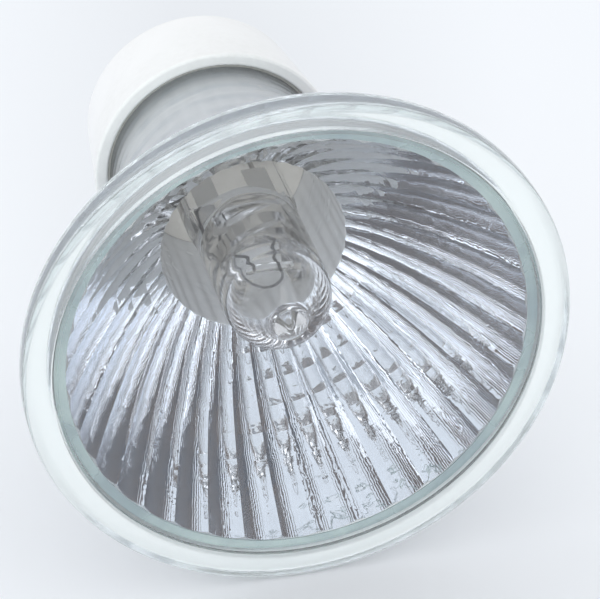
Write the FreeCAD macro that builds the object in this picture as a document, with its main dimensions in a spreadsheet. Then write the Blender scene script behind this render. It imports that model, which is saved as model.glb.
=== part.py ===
import FreeCAD, Part
import math
import os

import PartDesign
import Sketcher

# Halogen spotlight lamp with a two-pin twist base. Lengths are in millimetres.
# Each piece is drawn about the lamp's own axis: z = 0 is the seat face of the ceramic base, +z runs
# towards the front glass, and x runs along the line of the two contact pins. A depth is measured back
# from the front lip of the rim. Every finished piece is then turned so that the beam points along -Y.

SIZES = {
    # Rim of the glass, with the recess for the front glass
    "face_z": 48.0,
    "rim_r": 25.0,
    "rim_thick": 3.1,
    "rim_front_round": 0.9,
    "rim_back_round": 1.3,
    "lip_width": 2.6,
    "recess_depth": 1.8,
    "ledge_width": 1.6,
    # Bowl and neck
    "bowl_wall": 1.8,
    "bowl_arc_r": 68.0,
    "hole_wall": 1.15,
    "neck_fillet": 4.0,
    "neck_r": 10.9,
    "neck_bore_r": 8.95,
    "neck_end_z": 6.5,
    # Fluted and faceted mirror surface
    "mirror_focal": 4.83,
    "flute_depth": 0.28,
    "flute_count": 36,
    "facet_rows": 8,
    # Front glass and its sealant
    "cover_gap": 0.15,
    "cover_thick": 1.45,
    "cover_chamfer": 0.25,
    "seal_thick": 0.15,
    "seal_inset": 0.02,
    # Quartz capsule
    "capsule_r": 5.1,
    "capsule_wall": 0.9,
    "capsule_nose_depth": 6.0,
    "tip_r": 1.5,
    "tip_length": 1.6,
    "tip_fillet": 0.8,
    "bulb_back_depth": 22.0,
    "throat_length": 1.8,
    "throat_r": 1.0,
    "shoulder_length": 3.5,
    "pinch_length": 13.0,
    "pinch_width": 10.6,
    "pinch_thick": 3.4,
    # Wires, foils, bridge and filament
    "lead_x": 2.75,
    "lead_r": 0.18,
    "lead_bend_r": 1.2,
    "foil_inset": 1.0,
    "foil_length": 6.0,
    "foil_width": 2.4,
    "foil_thick": 0.05,
    "glass_gap": 0.02,
    "bridge_depth": 16.2,
    "bridge_r": 0.5,
    "bridge_length": 5.2,
    "bridge_offset": 0.5,
    "left_tail_x": 1.1,
    "left_tail_run": 1.5,
    "left_slant": 1.7,
    "right_tail_x": 1.5,
    "right_tail_run": 2.4,
    "right_slant": 3.4,
    "right_tail_reach": 0.6,
    "filament_r": 0.14,
    "filament_gap": 0.06,
    "filament_apex_rise": 4.3,
    "filament_shoulder_rise": 1.6,
    "filament_bend_r": 1.3,
    "outer_lead_r": 0.25,
    "outer_lead_bend_r": 1.5,
    "outer_lead_knee_drop": 0.8,
    "outer_lead_elbow_rise": 1.2,
    # Cements
    "cement_lap": 3.0,
    "cement_setback": 2.0,
    "cement_gap": 0.05,
    "cement_joint": 0.3,
    "joint_front_gap": 0.4,
    # Ceramic base
    "base_mouth_z": 13.0,
    "base_wall": 1.3,
    "base_shoulder_wall": 0.1,
    "base_bevel_width": 1.9,
    "base_bevel_height": 1.6,
    "base_shoulder_round": 0.8,
    "base_mouth_round": 0.3,
    "base_floor": 3.5,
    "base_ledge": 2.2,
    # Contact pins
    "pin_pitch": 10.0,
    "pin_length": 7.0,
    "pin_head_r": 2.5,
    "pin_head_height": 2.4,
    "pin_head_round": 0.5,
    "pin_shank_r": 1.55,
    "pin_bore_floor": 0.8,
    "pin_rivet_r": 2.3,
    "pin_rivet_height": 0.7,
    "pin_gap": 0.05,
    "solder_r": 1.0,
    "solder_height": 0.6,
    "solder_sweep_r": 1.5,
}

doc = FreeCAD.newDocument("spotlight_lamp")
sheet = doc.addObject("Spreadsheet::Sheet", "dims")
for row, (alias, number) in enumerate(SIZES.items(), start=1):
    sheet.set(f"A{row}", str(number))
    sheet.setAlias(f"A{row}", alias)
doc.recompute()


class Size:
    """A length that carries its value and the sheet expression that drives it."""

    def __init__(self, value, text):
        self.value = value
        self.text = text

    def _join(self, other, sign, value):
        return Size(value, f"({self.text} {sign} {lift(other).text})")

    def __add__(self, other):
        return self._join(other, "+", self.value + lift(other).value)

    def __sub__(self, other):
        return self._join(other, "-", self.value - lift(other).value)

    def __mul__(self, other):
        return self._join(other, "*", self.value * lift(other).value)

    def __truediv__(self, other):
        return self._join(other, "/", self.value / lift(other).value)

    def __neg__(self):
        return Size(-self.value, f"(0 - {self.text})")


class Dims:
    """The sheet's cells by name, each as a Size."""

    def __getattr__(self, name):
        return Size(float(sheet.get(name)), f"dims.{name}")


def lift(number):
    """A plain number as a Size."""
    return number if isinstance(number, Size) else Size(float(number), repr(float(number)))


def root(size):
    """The square root of a Size."""
    return Size(math.sqrt(size.value), f"sqrt({size.text})")


dims = Dims()
ZERO = lift(0)


def at_depth(depth):
    """The height of a point that lies this far behind the front lip."""
    return dims.face_z - depth


# Shared dimensions that follow from the sizes above
RIM_BACK_Z = at_depth(dims.rim_thick)
LEDGE_Z = at_depth(dims.recess_depth)
RECESS_R = dims.rim_r - dims.lip_width
MOUTH_R = RECESS_R - dims.ledge_width
BOWL_TOP_R = MOUTH_R + dims.bowl_wall
MIRROR_DEPTH = (MOUTH_R * MOUTH_R - dims.neck_bore_r * dims.neck_bore_r) / (dims.mirror_focal * 4)
NECK_TOP_Z = LEDGE_Z - MIRROR_DEPTH - dims.hole_wall
BULB_BACK_Z = at_depth(dims.bulb_back_depth)
PINCH_FRONT_Z = BULB_BACK_Z - dims.shoulder_length
PINCH_END_Z = PINCH_FRONT_Z - dims.pinch_length
FOIL_FRONT_Z = PINCH_FRONT_Z - dims.foil_inset
FOIL_BACK_Z = FOIL_FRONT_Z - dims.foil_length
BRIDGE_Z = at_depth(dims.bridge_depth)
LEFT_KNEE_Z = BRIDGE_Z - dims.left_tail_run - dims.left_slant
CEMENT_FRONT_Z = PINCH_END_Z + dims.cement_lap
CEMENT_BACK_Z = dims.neck_end_z + dims.cement_setback
LEAD_HOLE_R = dims.lead_r + dims.glass_gap
OUTER_LEAD_HOLE_R = dims.outer_lead_r + dims.glass_gap
BASE_BORE_R = dims.neck_r + dims.cement_joint
PIN_X = dims.pin_pitch / 2
PIN_INNER_Z = dims.base_floor + dims.pin_rivet_height
PIN_HEAD_Z = dims.pin_head_height - dims.pin_length
PIN_BORE_END_Z = PIN_HEAD_Z + dims.pin_bore_floor

BEAM_FORWARD = FreeCAD.Placement(
    FreeCAD.Vector(0, 0, 0), FreeCAD.Rotation(FreeCAD.Vector(1, 0, 0), 90))
HALF_TURN = FreeCAD.Placement(
    FreeCAD.Vector(0, 0, 0), FreeCAD.Rotation(FreeCAD.Vector(0, 0, 1), 180))

pieces = []


def keep(piece, label, half_turn=False):
    """Names a finished piece and turns it into the lamp's frame."""
    piece.Label = label
    piece.Placement = BEAM_FORWARD.multiply(HALF_TURN) if half_turn else BEAM_FORWARD
    pieces.append(piece)


def keep_aside(piece, label, offset, half_turn):
    """Keeps a piece that is drawn about the axis but stands beside it, at this offset along x."""
    keep(piece, label, half_turn)
    aside = FreeCAD.Placement(FreeCAD.Vector(offset.value, 0, 0), FreeCAD.Rotation())
    piece.Placement = piece.Placement.multiply(aside)


def new_body(name):
    return doc.addObject("PartDesign::Body", name)


def new_sketch(body, name, role):
    """A sketch on one of its body's own origin planes."""
    sketch = body.newObject("Sketcher::SketchObject", name)
    plane = next(item for item in body.Origin.OriginFeatures if item.Role == role)
    sketch.AttachmentSupport = [(plane, "")]
    sketch.MapMode = "FlatFace"
    return sketch


def bind(sketch, constraint, name, size):
    """Adds a dimension to a sketch and ties it to the sheet."""
    index = sketch.addConstraint(constraint)
    sketch.renameConstraint(index, name)
    sketch.setExpression(f"Constraints.{name}", size.text)


def pin_point(sketch, name, geometry, position, corner):
    """Fixes a point of a sketch by its two coordinates."""
    for axis, across, size in (("X", -2, corner[0]), ("Y", -1, corner[1])):
        if size is ZERO:
            sketch.addConstraint(Sketcher.Constraint("PointOnObject", geometry, position, across))
        else:
            distance = Sketcher.Constraint(f"Distance{axis}", -1, 1, geometry, position, size.value)
            bind(sketch, distance, f"{name}_{axis.lower()}", size)


def arc_between(start, end, radius, side):
    """The arc from start to end; side is 1 for a centre left of the way, -1 for one on its right."""
    chord = end - start
    middle = (start + end) * 0.5
    rise = math.sqrt(max(radius * radius - chord.Length ** 2 / 4, 0))
    leftward = FreeCAD.Vector(-chord.y, chord.x, 0).normalize()
    centre = middle + leftward * (rise * side)
    first, last = (start, end) if side > 0 else (end, start)
    circle = Part.Circle(centre, FreeCAD.Vector(0, 0, 1), radius)
    return Part.ArcOfCircle(circle, circle.parameter(first), circle.parameter(last))


def outline(body, name, corners, arcs=None, role="XZ_Plane"):
    """A closed outline through the corners.

    arcs maps the number of a side to (radius, side) where that side is an arc and not a line.
    """
    sketch = new_sketch(body, name, role)
    arcs = arcs or {}
    points = [FreeCAD.Vector(x.value, y.value, 0) for x, y in corners]
    ends = []
    for number, start in enumerate(points):
        end = points[(number + 1) % len(points)]
        if number in arcs:
            radius, side = arcs[number]
            geometry = sketch.addGeometry(arc_between(start, end, radius.value, side))
            ends.append((geometry, 1, 2) if side > 0 else (geometry, 2, 1))
        else:
            ends.append((sketch.addGeometry(Part.LineSegment(start, end)), 1, 2))
    for number, (geometry, first, last) in enumerate(ends):
        following, following_first, _ = ends[(number + 1) % len(ends)]
        sketch.addConstraint(
            Sketcher.Constraint("Coincident", geometry, last, following, following_first))
        pin_point(sketch, f"corner{number}", geometry, first, corners[number])
        if number in arcs:
            radius = arcs[number][0]
            bind(sketch, Sketcher.Constraint("Radius", geometry, radius.value),
                 f"arc{number}", radius)
    return sketch


def circles(body, name, centres, radius, height):
    """A sketch of equal circles on a level at this height."""
    sketch = new_sketch(body, name, "XY_Plane")
    sketch.setExpression("AttachmentOffset.Base.z", height.text)
    for number, (x, y) in enumerate(centres):
        circle = Part.Circle(
            FreeCAD.Vector(x.value, y.value, 0), FreeCAD.Vector(0, 0, 1), radius.value)
        geometry = sketch.addGeometry(circle)
        pin_point(sketch, f"centre{number}", geometry, 3, (x, y))
        bind(sketch, Sketcher.Constraint("Radius", geometry, radius.value),
             f"radius{number}", radius)
    return sketch


def rectangle(body, name, width, thick, height):
    """A sketch of a rectangle about the axis, on a level at this height."""
    half_width = width / 2
    half_thick = thick / 2
    corners = [(-half_width, -half_thick), (half_width, -half_thick),
               (half_width, half_thick), (-half_width, half_thick)]
    sketch = outline(body, name, corners, role="XY_Plane")
    sketch.setExpression("AttachmentOffset.Base.z", height.text)
    return sketch


def turned(body, kind, sketch, name):
    """A full turn of an outline about the lamp's axis; kind is Revolution or Groove."""
    feature = body.newObject(f"PartDesign::{kind}", name)
    feature.Profile = sketch
    feature.ReferenceAxis = (sketch, ["V_Axis"])
    feature.Angle = 360
    sketch.Visibility = False
    doc.recompute()
    return feature


def drilled(body, sketch, name, length):
    """A cut from a sketch's level down towards the seat, which has to remove material."""
    before = body.Shape.Volume
    pocket = body.newObject("PartDesign::Pocket", name)
    pocket.Profile = sketch
    pocket.Type = "Length"
    pocket.setExpression("Length", length.text)
    doc.recompute()
    if body.Shape.Volume >= before:
        raise RuntimeError(f"{name} removes nothing")
    return pocket


def rounded(body, base, name, radius, rings):
    """Rounds the circular edges that lie at the given (radius, height) pairs."""
    edges = []
    for number, edge in enumerate(base.Shape.Edges, start=1):
        for ring_r, ring_z in rings:
            if is_ring(edge, ring_r.value, ring_z.value):
                edges.append(f"Edge{number}")
    fillet = body.newObject("PartDesign::Fillet", name)
    fillet.Base = (base, edges)
    fillet.setExpression("Radius", radius.text)
    doc.recompute()
    return fillet


def is_ring(edge, ring_r, ring_z, slack=1e-4):
    """Whether an edge is a circle of this radius at this height."""
    if edge.Degenerated or not isinstance(edge.Curve, Part.Circle):
        return False
    return abs(edge.Curve.Radius - ring_r) < slack and abs(edge.Curve.Center.z - ring_z) < slack


def primitive(kind, name, expressions, position):
    """A plain solid whose properties and position are tied to the sheet."""
    item = doc.addObject(kind, name)
    for key, size in expressions.items():
        item.setExpression(key, size.text)
    for axis, size in zip("xyz", position):
        item.setExpression(f"Placement.Base.{axis}", size.text)
    return item


def cut(base, tools, name):
    """One piece less the tools, one after the other."""
    for number, tool in enumerate(tools):
        result = doc.addObject("Part::Cut", f"{name}_{number}")
        result.Base = base
        result.Tool = tool
        base = result
    doc.recompute()
    return base


# Reflector: a turned glass blank, pressed inside by a fluted plunger
def flute_ring(radius, height):
    """A closed ring of arcs at one level of the plunger; the ridges between them point inwards."""
    count = int(dims.flute_count.value)
    crown = radius * (1 + dims.flute_depth.value / MOUTH_R.value)
    step = 2 * math.pi / count

    def spot(turn, distance):
        return FreeCAD.Vector(
            distance * math.cos(turn * step), distance * math.sin(turn * step), height)

    arcs = [Part.Arc(spot(n, radius), spot(n + 0.5, crown), spot(n + 1, radius)).toShape()
            for n in range(count)]
    return Part.Wire(arcs)


def mirror_length(radius):
    """The length of the mirror's parabola from its axis to this radius."""
    unit = 2 * dims.mirror_focal.value
    share = radius / unit
    return unit / 2 * (share * math.hypot(1, share) + math.asinh(share))


def radius_at(length):
    """The radius at which the mirror's parabola has this length from its axis."""
    low, high = 0.0, dims.rim_r.value
    for _ in range(60):
        middle = (low + high) / 2
        if mirror_length(middle) < length:
            low = middle
        else:
            high = middle
    return low


def press_plunger():
    """The plunger that presses the flutes: rows of equal facets along a parabola."""
    focal = dims.mirror_focal.value
    mouth_r = MOUTH_R.value
    hole_r = dims.neck_bore_r.value
    rows = int(dims.facet_rows.value)
    ledge_z = LEDGE_Z.value
    first, last = mirror_length(mouth_r), mirror_length(hole_r)
    row_length = (first - last) / rows

    def height(radius):
        return ledge_z - (mouth_r ** 2 - radius ** 2) / (4 * focal)

    radii = [radius_at(first - row * row_length) for row in range(rows + 1)]
    levels = [(radius, height(radius)) for radius in radii]
    # The first and the last row run on past the ledge and the hole, so that both are cut clean.
    overrun = 0.3
    (top_r, top_z), (below_r, below_z) = levels[0], levels[1]
    levels[0] = (top_r + (top_r - below_r) * overrun, top_z + (top_z - below_z) * overrun)
    (end_r, end_z), (above_r, above_z) = levels[-1], levels[-2]
    levels[-1] = (end_r - (above_r - end_r) * overrun, end_z - (above_z - end_z) * overrun)
    plunger = doc.addObject("Part::Feature", "press_plunger")
    plunger.Shape = Part.makeLoft([flute_ring(*level) for level in levels], True, True)
    return plunger


def reflector():
    body = new_body("reflector_blank")
    corners = [
        (dims.neck_bore_r, dims.neck_end_z),
        (dims.neck_r, dims.neck_end_z),
        (dims.neck_r, NECK_TOP_Z),
        (BOWL_TOP_R, RIM_BACK_Z),
        (dims.rim_r, RIM_BACK_Z),
        (dims.rim_r, dims.face_z),
        (RECESS_R, dims.face_z),
        (RECESS_R, LEDGE_Z),
        (dims.neck_bore_r, LEDGE_Z),
    ]
    bowl_side = 2
    section = outline(body, "blank_section", corners, {bowl_side: (dims.bowl_arc_r, 1)})
    blank = turned(body, "Revolution", section, "blank")
    neck = rounded(body, blank, "neck_blend", dims.neck_fillet, [(dims.neck_r, NECK_TOP_Z)])
    back = rounded(body, neck, "rim_back", dims.rim_back_round, [(dims.rim_r, RIM_BACK_Z)])
    rounded(body, back, "rim_front", dims.rim_front_round, [(dims.rim_r, dims.face_z)])
    keep(cut(body, [press_plunger()], "pressed"), "reflector")


# Front glass and the ring of sealant that it lies on
def front_glass():
    cover_r = RECESS_R - dims.cover_gap
    seal_top_z = LEDGE_Z + dims.seal_thick
    cover = new_body("cover")
    front_z = seal_top_z + dims.cover_thick
    bevel_r = cover_r - dims.cover_chamfer
    corners = [
        (ZERO, seal_top_z),
        (bevel_r, seal_top_z),
        (cover_r, seal_top_z + dims.cover_chamfer),
        (cover_r, front_z - dims.cover_chamfer),
        (bevel_r, front_z),
        (ZERO, front_z),
    ]
    turned(cover, "Revolution", outline(cover, "cover_section", corners), "cover_disc")
    keep(cover, "cover_glass")

    seal = new_body("seal")
    inner_r = MOUTH_R + dims.flute_depth + dims.seal_inset
    corners = [(inner_r, LEDGE_Z), (bevel_r, LEDGE_Z), (bevel_r, seal_top_z), (inner_r, seal_top_z)]
    turned(seal, "Revolution", outline(seal, "seal_section", corners), "seal_ring")
    keep(seal, "cover_seal")


# Quartz capsule: a domed tube with an exhaust tip, flattened into a pinch round the foils
def capsule():
    body = new_body("capsule_glass")
    nose_z = at_depth(dims.capsule_nose_depth)
    dome_z = nose_z - dims.capsule_r
    tip_foot_z = dome_z + root(dims.capsule_r * dims.capsule_r - dims.tip_r * dims.tip_r)
    tip_z = nose_z + dims.tip_length
    corners = [
        (ZERO, BULB_BACK_Z),
        (dims.capsule_r, BULB_BACK_Z),
        (dims.capsule_r, dome_z),
        (dims.tip_r, tip_foot_z),
        (dims.tip_r, tip_z - dims.tip_r),
        (ZERO, tip_z),
    ]
    domes = {2: (dims.capsule_r, 1), 4: (dims.tip_r, 1)}
    tube = turned(body, "Revolution", outline(body, "tube_section", corners, domes), "tube")
    rounded(body, tube, "tip_foot", dims.tip_fillet, [(dims.tip_r, tip_foot_z)])

    shoulder = body.newObject("PartDesign::AdditiveLoft", "shoulder")
    shoulder.Profile = circles(body, "tube_end", [(ZERO, ZERO)], dims.capsule_r, BULB_BACK_Z)
    pinch_face = rectangle(body, "pinch_face", dims.pinch_width, dims.pinch_thick, PINCH_FRONT_Z)
    shoulder.Sections = [pinch_face]
    doc.recompute()
    pinch = body.newObject("PartDesign::Pad", "pinch")
    pinch.Profile = pinch_face
    pinch.Reversed = True
    pinch.setExpression("Length", dims.pinch_length.text)
    doc.recompute()

    bore_r = dims.capsule_r - dims.capsule_wall
    throat_z = BULB_BACK_Z - dims.throat_length
    corners = [
        (ZERO, throat_z),
        (dims.throat_r, throat_z),
        (bore_r, BULB_BACK_Z + dims.capsule_wall),
        (bore_r, dome_z),
        (ZERO, dome_z + bore_r),
    ]
    turned(body, "Groove", outline(body, "void_section", corners, {3: (bore_r, 1)}), "void")

    tools = []
    for side, x in (("left", -dims.lead_x), ("right", dims.lead_x)):
        tools.append(primitive(
            "Part::Cylinder", f"lead_hole_{side}",
            {"Radius": LEAD_HOLE_R, "Height": BULB_BACK_Z - FOIL_FRONT_Z},
            (x, ZERO, FOIL_FRONT_Z)))
        tools.append(primitive(
            "Part::Box", f"foil_slot_{side}",
            {"Length": dims.foil_width + dims.glass_gap * 2,
             "Width": dims.foil_thick + dims.glass_gap * 2,
             "Height": dims.foil_length},
            (x - dims.foil_width / 2 - dims.glass_gap,
             -dims.foil_thick / 2 - dims.glass_gap, FOIL_BACK_Z)))
        tools.append(primitive(
            "Part::Cylinder", f"tail_hole_{side}",
            {"Radius": OUTER_LEAD_HOLE_R, "Height": FOIL_BACK_Z - PINCH_END_Z},
            (x, ZERO, PINCH_END_Z)))
    keep(cut(body, tools, "capsule_cut"), "capsule")


# Wires and foils that carry the current through the capsule
def foils():
    for side, half_turn in (("left", True), ("right", False)):
        foil = new_body(f"foil_{side}_body")
        strip = foil.newObject("PartDesign::Pad", f"foil_{side}_strip")
        strip.Profile = rectangle(foil, f"foil_{side}_section", dims.foil_width, dims.foil_thick,
                                  FOIL_BACK_Z)
        strip.setExpression("Length", dims.foil_length.text)
        doc.recompute()
        keep_aside(foil, f"foil_{side}", dims.lead_x, half_turn)


def bent_wire(points, bend_r, wire_r):
    """A round wire through points in the plane of the pins, with an arc at each inner point."""
    spots = [FreeCAD.Vector(x.value, 0, z.value) for x, z in points]
    edges = []
    start = spots[0]
    for before, corner, after in zip(spots, spots[1:], spots[2:]):
        inward = (before - corner).normalize()
        outward = (after - corner).normalize()
        half_turn = (math.pi - inward.getAngle(outward)) / 2
        setback = bend_r * math.tan(half_turn)
        bisector = (inward + outward).normalize()
        middle = corner + bisector * (bend_r / math.cos(half_turn) - bend_r)
        arc_start = corner + inward * setback
        arc_end = corner + outward * setback
        edges.append(Part.LineSegment(start, arc_start).toShape())
        edges.append(Part.Arc(arc_start, middle, arc_end).toShape())
        start = arc_end
    edges.append(Part.LineSegment(start, spots[-1]).toShape())
    path = Part.Wire(edges)
    heading = (spots[1] - spots[0]).normalize()
    section = Part.Wire(Part.makeCircle(wire_r, spots[0], heading))
    return path.makePipeShell([section], True, True)


def wire_piece(label, points, bend_r, wire_r, half_turn=False):
    wire = doc.addObject("Part::Feature", f"{label}_wire")
    wire.Shape = bent_wire(points, bend_r.value, wire_r.value)
    keep(wire, label, half_turn)


def inner_leads():
    """The left lead ends in the bridge, and the right one runs on through it."""
    left = [
        (dims.lead_x, FOIL_FRONT_Z),
        (dims.lead_x, LEFT_KNEE_Z),
        (dims.left_tail_x, BRIDGE_Z - dims.left_tail_run),
        (dims.left_tail_x, BRIDGE_Z),
    ]
    wire_piece("lead_left", left, dims.lead_bend_r, dims.lead_r, half_turn=True)
    right_elbow_z = BRIDGE_Z - dims.right_tail_run
    right = [
        (dims.lead_x, FOIL_FRONT_Z),
        (dims.lead_x, right_elbow_z - dims.right_slant),
        (dims.right_tail_x, right_elbow_z),
        (dims.right_tail_x, BRIDGE_Z + dims.bridge_r + dims.right_tail_reach),
    ]
    wire_piece("lead_right", right, dims.lead_bend_r, dims.lead_r)


def bridge():
    rod = primitive(
        "Part::Cylinder", "bridge_rod",
        {"Radius": dims.bridge_r, "Height": dims.bridge_length},
        (dims.bridge_offset - dims.bridge_length / 2, ZERO, BRIDGE_Z))
    rod.Placement.Rotation = FreeCAD.Rotation(FreeCAD.Vector(0, 1, 0), 90)
    holes = [primitive(
        "Part::Cylinder", f"bridge_hole_{side}",
        {"Radius": LEAD_HOLE_R, "Height": dims.bridge_r * 2},
        (x, ZERO, BRIDGE_Z - dims.bridge_r))
        for side, x in (("left", -dims.left_tail_x), ("right", dims.right_tail_x))]
    keep(cut(rod, holes, "bridge_cut"), "bridge")


def filament():
    """The coil, as the round of its outer turns, from the left lead to the end of the right one."""
    foot_x = -dims.lead_x
    foot_z = LEFT_KNEE_Z + dims.lead_r * 2 + dims.filament_gap
    shoulder_z = BRIDGE_Z + dims.filament_shoulder_rise
    apex_z = BRIDGE_Z + dims.filament_apex_rise
    end_x = dims.right_tail_x
    end_z = BRIDGE_Z + dims.bridge_r + dims.right_tail_reach + dims.filament_gap
    points = [
        (foot_x, foot_z),
        (foot_x, shoulder_z),
        ((foot_x + end_x) / 2, apex_z),
        (end_x, shoulder_z + (apex_z - shoulder_z) / 3),
        (end_x, end_z),
    ]
    wire_piece("filament", points, dims.filament_bend_r, dims.filament_r)


def outer_leads():
    """From the foils, out of the cement and down to the end of each contact pin's bore."""
    points = [
        (dims.lead_x, FOIL_BACK_Z),
        (dims.lead_x, CEMENT_BACK_Z - dims.outer_lead_knee_drop),
        (PIN_X, PIN_INNER_Z + dims.outer_lead_elbow_rise),
        (PIN_X, PIN_BORE_END_Z),
    ]
    for side, half_turn in (("left", True), ("right", False)):
        wire_piece(f"outer_lead_{side}", points, dims.outer_lead_bend_r, dims.outer_lead_r,
                   half_turn)


# Cements that hold the capsule in the neck and the neck in the base
def cements():
    plug = new_body("plug")
    plug_r = dims.neck_bore_r - dims.cement_gap
    corners = [(ZERO, CEMENT_BACK_Z), (plug_r, CEMENT_BACK_Z),
               (plug_r, CEMENT_FRONT_Z), (ZERO, CEMENT_FRONT_Z)]
    turned(plug, "Revolution", outline(plug, "plug_section", corners), "plug_disc")
    slot = rectangle(plug, "pinch_slot", dims.pinch_width + dims.cement_gap * 2,
                     dims.pinch_thick + dims.cement_gap * 2, CEMENT_FRONT_Z)
    drilled(plug, slot, "pinch_seat", dims.cement_lap)
    holes = circles(plug, "lead_ways", [(-dims.lead_x, ZERO), (dims.lead_x, ZERO)],
                    dims.outer_lead_r + dims.cement_gap, PINCH_END_Z)
    drilled(plug, holes, "lead_holes", PINCH_END_Z - CEMENT_BACK_Z)
    keep(plug, "capsule_cement")

    joint = new_body("joint")
    inner_r = dims.neck_r + dims.glass_gap
    outer_r = BASE_BORE_R - dims.glass_gap
    front_z = dims.base_mouth_z - dims.joint_front_gap
    corners = [(inner_r, dims.neck_end_z), (outer_r, dims.neck_end_z),
               (outer_r, front_z), (inner_r, front_z)]
    turned(joint, "Revolution", outline(joint, "joint_section", corners), "joint_ring")
    keep(joint, "base_cement")


# Ceramic cup with a bevelled end, a ledge for the neck and a floor for the pins
def ceramic_base():
    body = new_body("cup")
    mouth_r = BASE_BORE_R + dims.base_wall
    cavity_r = BASE_BORE_R - dims.base_ledge
    shoulder_r = BASE_BORE_R + dims.base_shoulder_wall
    corners = [
        (ZERO, ZERO),
        (shoulder_r - dims.base_bevel_width, ZERO),
        (shoulder_r, dims.base_bevel_height),
        (mouth_r, dims.base_mouth_z),
        (BASE_BORE_R, dims.base_mouth_z),
        (BASE_BORE_R, dims.neck_end_z),
        (cavity_r, dims.neck_end_z),
        (cavity_r, dims.base_floor),
        (ZERO, dims.base_floor),
    ]
    cup = turned(body, "Revolution", outline(body, "cup_section", corners), "cup_turned")
    shoulder = rounded(body, cup, "shoulder_round", dims.base_shoulder_round,
                       [(shoulder_r, dims.base_bevel_height)])
    rounded(body, shoulder, "mouth_round", dims.base_mouth_round,
            [(mouth_r, dims.base_mouth_z), (BASE_BORE_R, dims.base_mouth_z)])
    holes = circles(body, "pin_ways", [(-PIN_X, ZERO), (PIN_X, ZERO)],
                    dims.pin_shank_r + dims.pin_gap, dims.base_floor)
    drilled(body, holes, "pin_holes", dims.base_floor)
    keep(body, "ceramic_base")


# Contact pins, each bored for its lead from inside, with a collar of solder round the lead
def contact_pins():
    bore_r = dims.outer_lead_r + dims.pin_gap
    for side, half_turn in (("left", True), ("right", False)):
        pin = new_body(f"pin_{side}_body")
        corners = [
            (ZERO, -dims.pin_length),
            (dims.pin_head_r, -dims.pin_length),
            (dims.pin_head_r, PIN_HEAD_Z),
            (dims.pin_shank_r, PIN_HEAD_Z),
            (dims.pin_shank_r, dims.base_floor),
            (dims.pin_rivet_r, dims.base_floor),
            (dims.pin_rivet_r, PIN_INNER_Z),
            (bore_r, PIN_INNER_Z),
            (bore_r, PIN_BORE_END_Z),
            (ZERO, PIN_BORE_END_Z),
        ]
        shank = turned(pin, "Revolution", outline(pin, f"pin_{side}_section", corners),
                       f"pin_{side}_turned")
        rounded(pin, shank, f"pin_{side}_head", dims.pin_head_round,
                [(dims.pin_head_r, -dims.pin_length), (dims.pin_head_r, PIN_HEAD_Z)])
        keep_aside(pin, f"pin_{side}", PIN_X, half_turn)

        collar = new_body(f"solder_{side}_body")
        corners = [(dims.outer_lead_r, PIN_INNER_Z), (dims.solder_r, PIN_INNER_Z),
                   (dims.outer_lead_r, PIN_INNER_Z + dims.solder_height)]
        section = outline(collar, f"solder_{side}_section", corners, {1: (dims.solder_sweep_r, -1)})
        turned(collar, "Revolution", section, f"solder_{side}_turned")
        keep_aside(collar, f"solder_{side}", PIN_X, half_turn)


reflector()
front_glass()
capsule()
foils()
inner_leads()
bridge()
filament()
outer_leads()
cements()
ceramic_base()
contact_pins()
doc.recompute()

for item in doc.Objects:
    if "Invalid" in item.State or "Error" in item.State:
        raise RuntimeError(f"{item.Name} failed: {item.State}")
for piece in pieces:
    if piece.Shape.isNull() or not piece.Shape.isValid():
        raise RuntimeError(f"{piece.Label} has no valid shape")

os.makedirs("parts", exist_ok=True)
for piece in pieces:
    piece.Shape.exportStep(f"parts/{piece.Label}.step")
    print(piece.Label, len(piece.Shape.Solids), round(piece.Shape.Volume, 3))
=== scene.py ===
import logging
import math
from dataclasses import dataclass
from enum import Enum, IntEnum
from functools import lru_cache
from typing import Callable, Sequence

import bmesh
import bpy
from mathutils import Matrix, Vector


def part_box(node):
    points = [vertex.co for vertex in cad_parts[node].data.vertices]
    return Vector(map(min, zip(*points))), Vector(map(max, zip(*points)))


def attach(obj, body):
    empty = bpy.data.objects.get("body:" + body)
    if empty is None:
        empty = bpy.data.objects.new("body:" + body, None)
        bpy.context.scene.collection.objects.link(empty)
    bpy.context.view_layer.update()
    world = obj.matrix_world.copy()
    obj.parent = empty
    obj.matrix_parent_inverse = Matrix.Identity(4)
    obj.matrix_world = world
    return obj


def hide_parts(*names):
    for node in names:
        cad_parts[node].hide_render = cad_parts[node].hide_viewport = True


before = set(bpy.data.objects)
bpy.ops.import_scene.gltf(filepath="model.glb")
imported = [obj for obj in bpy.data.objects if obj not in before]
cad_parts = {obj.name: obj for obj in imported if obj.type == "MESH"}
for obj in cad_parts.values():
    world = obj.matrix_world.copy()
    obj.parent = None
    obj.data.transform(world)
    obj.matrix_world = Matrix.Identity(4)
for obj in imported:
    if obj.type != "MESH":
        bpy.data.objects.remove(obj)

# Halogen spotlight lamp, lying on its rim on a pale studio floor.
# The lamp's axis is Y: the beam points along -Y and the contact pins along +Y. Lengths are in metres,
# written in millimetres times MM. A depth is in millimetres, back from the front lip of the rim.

LOG = logging.getLogger("lamp")
MM = 0.001
WELD = 0.001 * MM
BODY = "root"
AXIS = Vector((0.0, 1.0, 0.0))
ORIGIN = Vector((0.0, 0.0, 0.0))
# Blender's wave texture turns through this many radians for each unit of its scale.
WAVE_PACE = 20.0
# A ray whose glossy depth is above this has met a mirror on its way.
MIRRORED = 0.5

RIM_LOW, RIM_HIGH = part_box("reflector")
FACE_Y = RIM_LOW.y
RIM_R = RIM_HIGH.x
FLOOR_Z = RIM_LOW.z

Spot = tuple[float, float]
Colour = tuple[float, float, float, float]


def depth(millimetres: float) -> float:
    """Places a depth behind the front lip on the lamp's axis.

    Args:
        millimetres: The distance back from the front lip.

    Returns:
        The y coordinate, in metres.
    """
    return FACE_Y + millimetres * MM


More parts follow.
